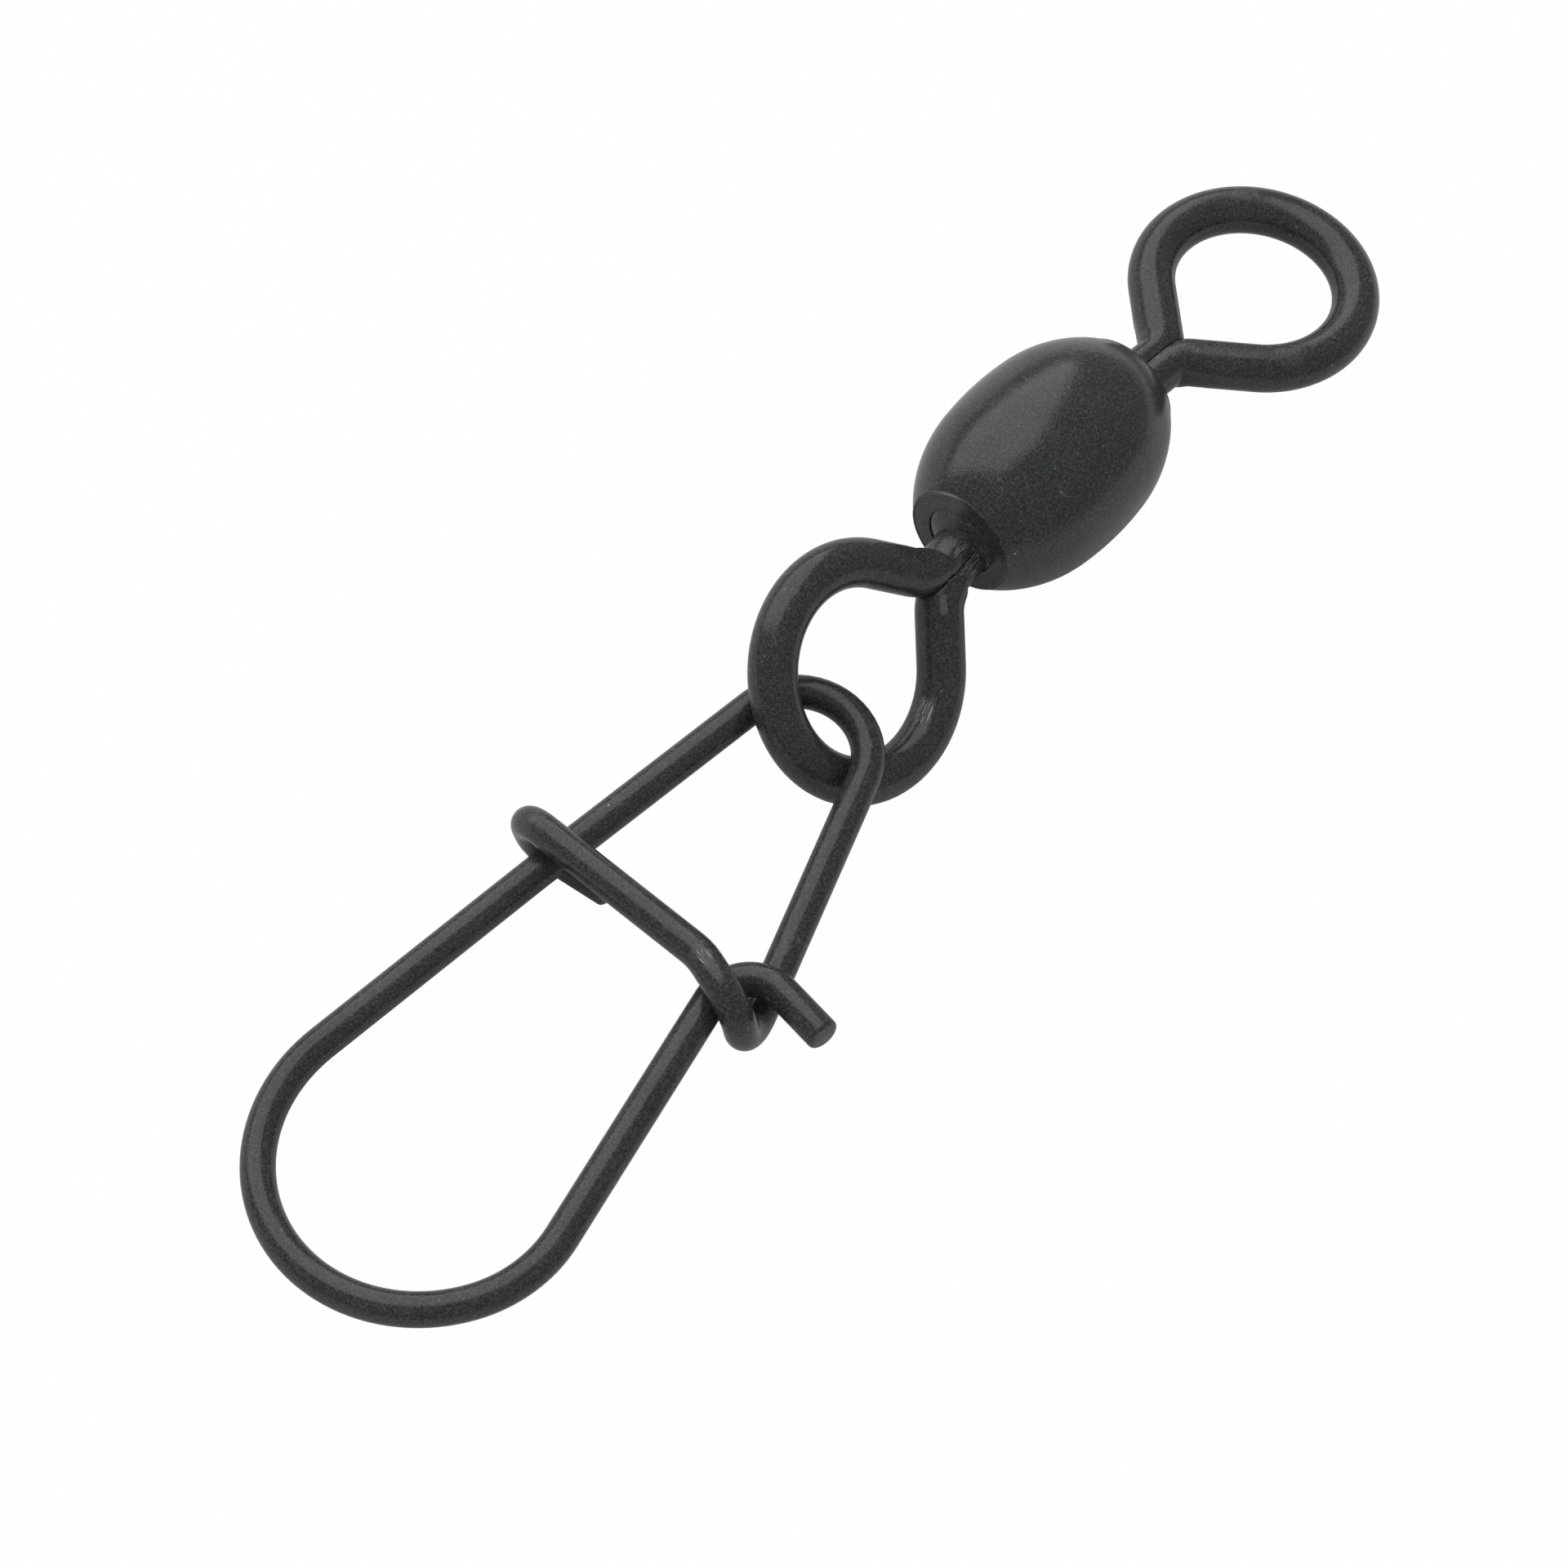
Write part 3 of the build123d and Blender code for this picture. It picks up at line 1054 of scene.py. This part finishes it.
@dataclass
class SnapWire:
    """The snap, one wire bent into a big loop and two hooks. Sizes are in millimetres."""

    frame: SwivelFrame
    eye: WireEye
    wire: float = 0.85
    gap: float = 0.05
    top_bend_radius: float = 1.71
    left_leg_angle: float = 10.76
    left_leg_lower_angle: float = 9.87
    left_leg_bend_radius: float = 12.0
    loop_start: float = 20.74
    loop_radii: Triple = (4.17, 4.03, 3.39)
    loop_turns: Pair = (65.8, 88.1)
    right_leg_lower_angle: float = 8.9
    crossbar: float = 13.94
    crossbar_skew: float = 0.61
    keeper_return: float = 0.30
    keeper_reach: float = 1.03
    keeper_tip: float = 1.25
    keeper_bend_radius: float = 0.77
    hook: float = 14.62
    hook_reach: float = 0.96
    hook_drop: float = 0.24
    hook_bend_radius: float = 0.95
    hook_shift: float = 0.15
    bar_corner_step: float = 0.51
    bar_corner_radius: float = 1.85
    stub: float = 12.89
    stub_length: float = 3.13
    stub_slant: float = 13.6
    stub_bend_radius: float = 1.02
    end_round: float = 0.11
    end_segments: int = 4
    end_angle: float = 60.0
    hook_step: float = 7.0
    loop_step: float = 3.0
    stub_step: float = 6.0
    yaw: float = 3.05
    pitch: float = 4.27
    roll: float = 12.0
    link_place: Triple = (-0.106, -0.333, -0.084)

    def level(self) -> float:
        """Height of a run that crosses over or under another."""
        return self.wire + self.gap

    def left_leg(self, station: float) -> float:
        """Lateral place of the left leg above the keeper."""
        return station * math.tan(math.radians(self.left_leg_angle))

    def loop_start_point(self) -> Pair:
        """Where the big loop's first arc begins."""
        slope = math.tan(math.radians(self.left_leg_lower_angle))
        return self.loop_start, self.left_leg(self.crossbar) + (self.loop_start - self.crossbar) * slope

    def loop_arcs(self) -> list[Pair]:
        """Radius and turn, in degrees, of the big loop's three arcs."""
        whole = 180 + self.left_leg_lower_angle + self.right_leg_lower_angle
        return list(zip(self.loop_radii, (*self.loop_turns, whole - sum(self.loop_turns))))

    def loop_end_point(self) -> Pair:
        """Where the big loop's last arc ends.

        Returns:
            The point in the snap's plane.
        """
        x, y = self.loop_start_point()
        heading = math.radians(self.left_leg_lower_angle)
        for radius, degrees in self.loop_arcs():
            turn = math.radians(degrees)
            x += radius * (math.sin(heading) - math.sin(heading - turn))
            y += radius * (math.cos(heading - turn) - math.cos(heading))
            heading -= turn
        return x, y

    def right_leg(self, station: float) -> float:
        """Lateral place of the right leg below the hooks."""
        x, y = self.loop_end_point()
        return y + (x - station) * math.tan(math.radians(self.right_leg_lower_angle))

    def hook_corner(self) -> Triple:
        """The low corner of the hook, from which the upper right leg runs to the top bend."""
        side = self.right_leg(self.hook) - self.hook_reach
        return self.hook - self.hook_shift, side, -self.level() - self.hook_drop

    def upper_route(self) -> tuple[list[Vector], list[float]]:
        """The route from the keeper's tip to the start of the big loop.

        Returns:
            Its corners and the bend radius at each inner corner, in metres.
        """
        over = self.crossbar - self.crossbar_skew
        under = over - self.keeper_return
        leg = self.left_leg(over)
        level = self.level()
        low = self.hook_corner()
        corners = [
            (under, leg - self.keeper_tip, -level),
            (under, leg + self.keeper_reach, -level),
            (over, leg + self.keeper_reach, level),
            (self.crossbar, self.right_leg(self.crossbar) + self.bar_corner_step, level),
            (self.hook, low[1], level),
            low,
            (0.0, 0.0, 0.0),
            (self.crossbar, self.left_leg(self.crossbar), 0.0),
            (*self.loop_start_point(), 0.0),
        ]
        radii = [
            self.keeper_bend_radius,
            self.keeper_bend_radius,
            self.bar_corner_radius,
            self.hook_bend_radius,
            self.hook_bend_radius,
            self.top_bend_radius,
            self.left_leg_bend_radius,
        ]
        return [Vector(c) * MM for c in corners], [r * MM for r in radii]

    def lower_route(self) -> tuple[list[Vector], list[float]]:
        """The route from the end of the big loop to the thumb tab's cut end.

        Returns:
            Its corners and the bend radius at its inner corner, in metres.
        """
        corner = (self.stub, self.right_leg(self.stub))
        slant = math.radians(self.stub_slant)
        tip = (
            corner[0] + self.stub_length * math.sin(slant),
            corner[1] - self.stub_length * math.cos(slant),
        )
        route = [Vector((*self.loop_end_point(), 0)), Vector((*corner, 0)), Vector((*tip, 0))]
        return [point * MM for point in route], [self.stub_bend_radius * MM]

    def build(self) -> bpy.types.Object:
        """Bends the whole wire and rounds its cut ends.

        Returns:
            The snap, in its own frame.
        """
        corners, radii = self.upper_route()
        start = (corners[1] - corners[0]).normalized()
        maker = Modeller("snap_bent_wire", corners[0], start, self.wire / 2 * MM, True)
        maker.follow(corners, radii, math.radians(self.hook_step))
        for radius, degrees in self.loop_arcs():
            side = Vector((0, 0, 1)).cross(maker.along) * -1
            maker.bend(radius * MM, math.radians(degrees), side, round(degrees / self.loop_step))
        corners, radii = self.lower_route()
        maker.follow(corners, radii, math.radians(self.stub_step))
        snap = maker.finish()
        apply_modifier(
            snap,
            "BEVEL",
            {
                "width": self.end_round * MM,
                "segments": self.end_segments,
                "limit_method": "ANGLE",
                "angle_limit": math.radians(self.end_angle),
            },
        )
        tidy_mesh(snap)
        return snap

    def marks(self) -> tuple[PlacedMark, ...]:
        """Chips, scuffs and scratches where the wire was bent and cut, and where the eye rubs it; one
        paler patch is a painted glint.

        Returns:
            The marks in the row's frame.
        """
        wear_and_glint = (
            Mark(WearAndGlint.CHIP, (6.70, -1.47, 0.30), 0.045),
            Mark(WearAndGlint.CHIP, (11.70, 2.26, 0.43), 0.034, 0.7),
            Mark(WearAndGlint.SCUFF, (14.10, -2.64, 1.32), 0.50),
            Mark(WearAndGlint.SCRATCHES, (14.12, -2.62, 1.33), 0.27, 0.5, -72.0),
            Mark(WearAndGlint.CHIP, (14.02, -2.52, 1.33), 0.034, 0.6),
            Mark(WearAndGlint.SCUFF, (12.02, -3.25, -0.35), 0.45),
            Mark(WearAndGlint.SCUFF, (13.53, 2.97, 1.29), 0.45),
            # Painted glint: a paler patch on the leg where the lamp catches it
            Mark(WearAndGlint.RUB, (13.62, -5.90, 0.40), 0.22, 0.3),
            Mark(WearAndGlint.CHIP, (13.50, -5.80, 0.42), 0.045, 0.8),
            Mark(WearAndGlint.SCUFF, (14.33, -4.27, 0.29), 0.40),
        )
        return tuple(mark.put(self.matrix()) for mark in wear_and_glint)

    def matrix(self) -> Matrix:
        """From the snap's own frame to the row's frame.

        Returns:
            The matrix, which mirrors the snap as well.
        """
        low = self.hook_corner()
        right = math.degrees(math.atan2(-low[1], low[0]))
        half = math.radians(self.left_leg_angle + right) / 2
        centre = self.top_bend_radius / math.sin(half)
        aim = math.radians(self.left_leg_angle - right) / 2
        middle = Matrix.Translation(
            (-centre * math.cos(aim) * MM, -centre * math.sin(aim) * MM, 0)
        )
        flip = Matrix.Diagonal((-1, 1, 1, 1))
        turn = (
            Matrix.Rotation(math.radians(self.yaw), 4, "Z")
            @ Matrix.Rotation(math.radians(-self.pitch), 4, "Y")
            @ Matrix.Rotation(math.radians(-self.roll), 4, "X")
        )
        ring = self.eye.matrix() @ Vector((self.eye.length * MM, 0, 0))
        hang = ring + self.frame.matrix().to_3x3() @ Vector((-self.eye.ring_radius * MM, 0, 0))
        place = Matrix.Translation(hang + Vector(self.link_place) * MM)
        return place @ turn @ flip @ middle

    def dress(self, snap: bpy.types.Object) -> None:
        """Plates the snap and sets it on its body, then turns its mirrored faces outwards.

        Args:
            snap: The snap in its own frame.
        """
        finish = BlackPlating("snap_black_plating", marks=self.marks())
        snap.data.materials.append(finish.make())
        settle(snap, self.matrix(), "snap", "snap_wire")
        tidy_mesh(snap)


@dataclass
class Studio:
    """Floor, lamps, surroundings and camera. Lengths are in metres."""

    frame: SwivelFrame
    floor_size: float = 3.0
    floor_colour: float = 0.72
    floor_glow: float = 0.985
    room_light: float = 0.65
    room_in_gloss: float = 0.31
    panel_place: Triple = (0.041, 0.140, 0.318)
    panel_width_along: Triple = (0.978, -0.172, 0.116)
    panel_height_along: Triple = (-0.107, -0.262, 0.959)
    panel_size: Pair = (0.361, 0.542)
    panel_level: float = 1.37
    camera_offset: Triple = (-0.068248, -0.027018, 0.105388)
    camera_turn: Triple = (29.18, -9.055, -49.754)
    lens: float = 115.31
    sensor_width: float = 36.0
    clip: Pair = (0.005, 10.0)

    def lay_floor(self) -> None:
        """Lays the pale floor, which shows white to the camera and keeps the shadow."""
        deselect_all()
        bpy.ops.mesh.primitive_plane_add(size=self.floor_size)
        floor = bpy.context.active_object
        floor.name = "studio_floor"
        sheet = MaterialSheet("pale_floor")
        grey = (*(self.floor_colour,) * 3, 1.0)
        matt = sheet.node("ShaderNodeBsdfDiffuse", inputs={"Color": grey})
        glow = sheet.node("ShaderNodeEmission", inputs={"Color": (1, 1, 1, 1), "Strength": 1.0})
        path = sheet.node("ShaderNodeLightPath")
        share = Sock(sheet, path.outputs["Is Camera Ray"]) * self.floor_glow
        mix = sheet.node(
            "ShaderNodeMixShader",
            inputs={0: share, 1: matt.outputs["BSDF"], 2: glow.outputs["Emission"]},
        )
        sheet.feed(sheet.output.inputs["Surface"], mix.outputs["Shader"])
        floor.data.materials.append(sheet.material)

    def set_surroundings(self) -> None:
        """Makes the room white to the camera, and a softer grey to matt and glossy surfaces."""
        world = bpy.data.worlds.new("studio_room")
        bpy.context.scene.world = world
        world.use_nodes = True
        nodes, links = world.node_tree.nodes, world.node_tree.links
        nodes.clear()
        output = nodes.new("ShaderNodeOutputWorld")
        back = nodes.new("ShaderNodeBackground")
        path = nodes.new("ShaderNodeLightPath")
        level: bpy.types.NodeSocket | float = self.room_light
        for ray, strength in (
            ("Is Glossy Ray", self.room_in_gloss),
            ("Is Transmission Ray", self.room_in_gloss),
            ("Is Camera Ray", 1.0),
        ):
            choice = nodes.new("ShaderNodeMix")
            if isinstance(level, float):
                choice.inputs["A"].default_value = level
            else:
                links.new(level, choice.inputs["A"])
            choice.inputs["B"].default_value = strength
            links.new(path.outputs[ray], choice.inputs["Factor"])
            level = choice.outputs["Result"]
        links.new(level, back.inputs["Strength"])
        links.new(back.outputs["Background"], output.inputs["Surface"])

    def hang_panel(self) -> None:
        """Stands one large soft panel lamp beside the swivel, on the keeper's side."""
        deselect_all()
        across = Vector(self.panel_width_along).normalized()
        away = across.cross(Vector(self.panel_height_along)).normalized() * -1
        spot = self.frame.middle + Vector(self.panel_place)
        turn = Matrix((across, away.cross(across), away)).transposed().to_euler()
        bpy.ops.object.light_add(type="AREA", location=spot, rotation=turn)
        lamp = bpy.context.active_object
        lamp.name = "soft_panel"
        lamp.data.shape = "RECTANGLE"
        lamp.data.size, lamp.data.size_y = self.panel_size
        area = self.panel_size[0] * self.panel_size[1]
        lamp.data.energy = self.panel_level * math.pi * area

    def set_camera(self) -> None:
        """Places the camera where the photograph was taken from."""
        spot = self.frame.middle + Vector(self.camera_offset)
        turn = tuple(math.radians(angle) for angle in self.camera_turn)
        bpy.ops.object.camera_add(location=spot, rotation=turn)
        camera = bpy.context.active_object
        camera.data.sensor_width = self.sensor_width
        camera.data.lens = self.lens
        camera.data.clip_start, camera.data.clip_end = self.clip
        bpy.context.scene.camera = camera
        bpy.context.scene.view_settings.view_transform = "Standard"

    def build(self) -> None:
        """Sets up the whole studio."""
        self.lay_floor()
        self.set_surroundings()
        self.hang_panel()
        self.set_camera()


def report(piece: bpy.types.Object) -> None:
    """Logs a finished piece's name and number of faces."""
    LOG.info("%s: %d faces", piece.name, len(piece.data.polygons))


def main() -> None:
    """Builds the swivel, the snap and the studio, in that order."""
    logging.basicConfig(level=logging.INFO, format="%(name)s %(message)s")
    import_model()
    frame = SwivelFrame()
    frame.find()

    barrel = SwivelBarrel(frame)
    shell = barrel.build()
    barrel.dress(shell)
    report(shell)

    line_eye = WireEye(
        barrel,
        "line_wire_eye",
        Side.LINE,
        arm_angle=48.2,
        arm_bend_radius=0.75,
        tilt=4.25,
        roll=-6.4,
        slack=0.0,
        wear_and_glint=(
            Mark(WearAndGlint.CHIP, (2.43, -0.08, 0.55), 0.09, 0.35),
            Mark(WearAndGlint.SCUFF, (8.47, 1.96, 0.62), 0.45),
            Mark(WearAndGlint.SCUFF, (5.06, -2.47, 0.60), 0.55, 0.8),
            Mark(WearAndGlint.CHIP, (8.69, 0.45, 0.38), 0.040),
        ),
    )
    snap_eye = WireEye(
        barrel,
        "snap_wire_eye",
        Side.SNAP,
        arm_angle=51.0,
        arm_bend_radius=1.1,
        tilt=6.25,
        roll=41.0,
        slack=0.45,
        wear_and_glint=(
            Mark(WearAndGlint.SCRATCHES, (2.35, -0.05, 0.58), 0.50),
            Mark(WearAndGlint.SCRATCHES, (5.77, 2.00, 0.25), 0.45, 0.5, 20.6),
            # Painted glints: paler patches where the pressed neck and the arm's flat catch the lamp
            Mark(WearAndGlint.RUB, (2.65, -0.65, 0.37), 0.27, 0.16),
            Mark(WearAndGlint.RUB, (3.58, 0.19, 0.53), 0.13, 0.8),
            Mark(WearAndGlint.RUB, (3.68, 0.31, 0.53), 0.14, 0.8),
            Mark(WearAndGlint.RUB, (3.78, 0.43, 0.53), 0.13, 0.8),
            Mark(WearAndGlint.CHIP, (8.63, -2.47, 0.31), 0.040),
            Mark(WearAndGlint.CHIP, (8.75, -2.40, 0.27), 0.036),
            Mark(WearAndGlint.CHIP, (5.15, 1.90, 0.51), 0.040),
            Mark(WearAndGlint.CHIP, (7.46, 1.97, 0.34), 0.036),
            Mark(WearAndGlint.SCUFF, (9.35, 0.77, 0.58), 0.45),
        ),
    )
    for eye, body, node in (
        (line_eye, "line_end_eye", "line_eye"),
        (snap_eye, "snap_end_eye", "snap_eye"),
    ):
        piece = eye.build()
        eye.dress(piece, body, node)
        report(piece)

    snap = SnapWire(frame, snap_eye)
    wire = snap.build()
    snap.dress(wire)
    report(wire)

    Studio(frame).build()


if __name__ == "__main__":
    main()
